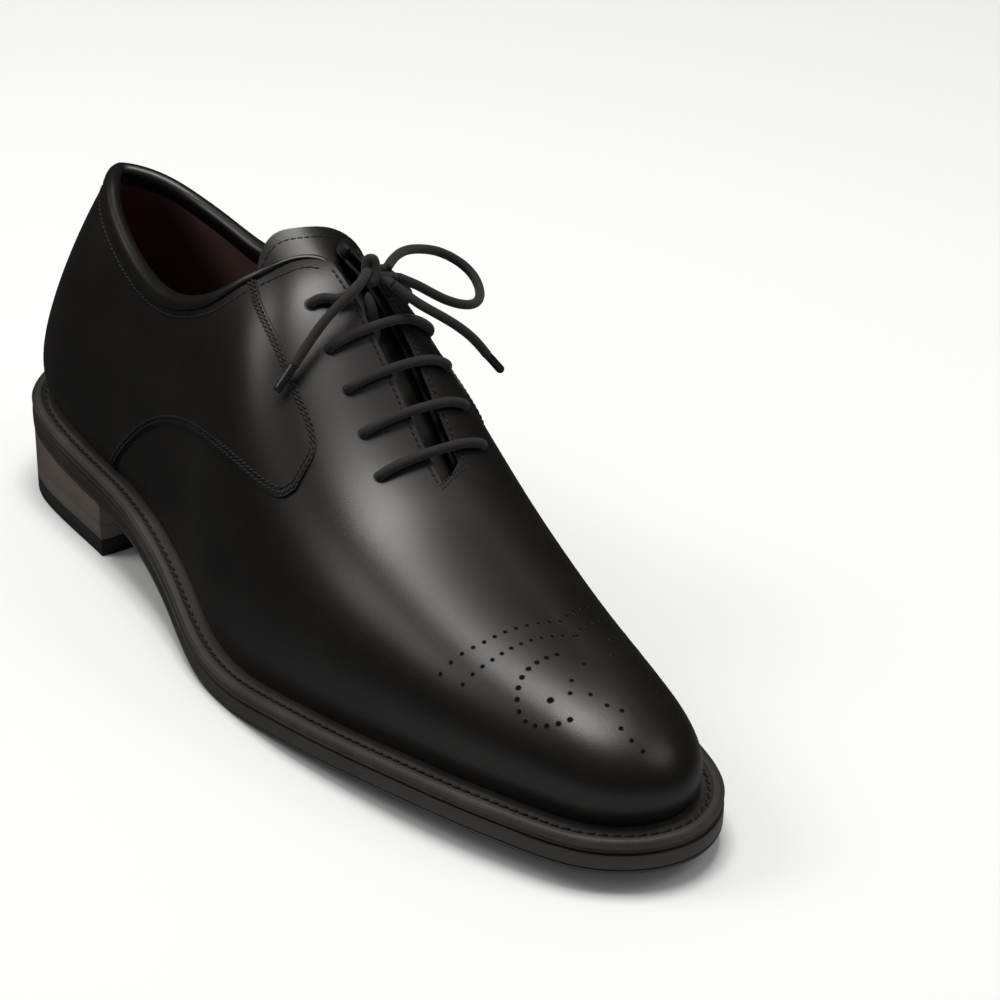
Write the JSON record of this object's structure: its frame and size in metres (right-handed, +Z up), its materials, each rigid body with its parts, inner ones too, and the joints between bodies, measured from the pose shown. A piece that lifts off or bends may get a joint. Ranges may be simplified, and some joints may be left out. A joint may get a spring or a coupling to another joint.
{
  "type": "oxford shoe",
  "caption": "Plain-toe black leather oxford shoe for the right foot, laced and tied, with a welted leather sole, stacked heel, punched toe pattern and leather lining.",
  "frame": {"origin": "on the ground under the centre of the outline of the sole", "axes": "+X towards the toe, +Y towards the inner (medial) side of the foot, +Z up"},
  "size_m": [0.3084, 0.1052, 0.1154],
  "materials": {
    "calf": "smooth polished black calf",
    "lining": "matte dark burgundy lining leather",
    "welt": "matte black dyed welt leather",
    "sole": "black dyed sole leather, waxed edge",
    "heel": "black waxed stacked leather",
    "heel_rubber": "satin black rubber",
    "insole": "undyed tan insole leather",
    "sock": "dark burgundy sock leather",
    "cork": "granulated cork paste",
    "steel": "plain spring steel",
    "stiffener": "skived undyed stiffener leather",
    "brass": "plain rolled brass",
    "lace": "matte waxed cotton cord",
    "aglet": "smooth black film"
  },
  "bodies": {
    "shoe": {"aglet_inner": "aglet", "aglet_outer": "aglet", "back_strip": "calf", "cork_filler": "cork", "eyelet_inner_1": "brass", "eyelet_inner_2": "brass", "eyelet_inner_3": "brass", "eyelet_inner_4": "brass", "eyelet_inner_5": "brass", "eyelet_outer_1": "brass", "eyelet_outer_2": "brass", "eyelet_outer_3": "brass", "eyelet_outer_4": "brass", "eyelet_outer_5": "brass", "heel_counter": "stiffener", "heel_lift_lower": "heel", "heel_lift_upper": "heel", "heel_top_piece": "heel_rubber", "insole": "insole", "lace_knot": "lace", "lace_loop": "lace", "lace_run": "lace", "lace_tail_inner": "lace", "lace_tail_outer": "lace", "outsole": "sole", "quarter_inner": "calf", "quarter_lining": "lining", "quarter_outer": "calf", "shank": "steel", "sock_pad": "sock", "toe_puff": "stiffener", "topline_binding": "calf", "vamp": "calf", "vamp_lining": "lining", "welt": "welt"},
    "tongue": {"tongue": "calf", "tongue_lining": "lining"}
  },
  "joints": [
    {"name": "tongue_fold", "type": "hinge", "parent": "shoe", "child": "tongue", "pos_m": [0.057, 0.009, 0.0525], "axis": [0, 1, 0], "range_deg": [-10, 0]}
  ]
}
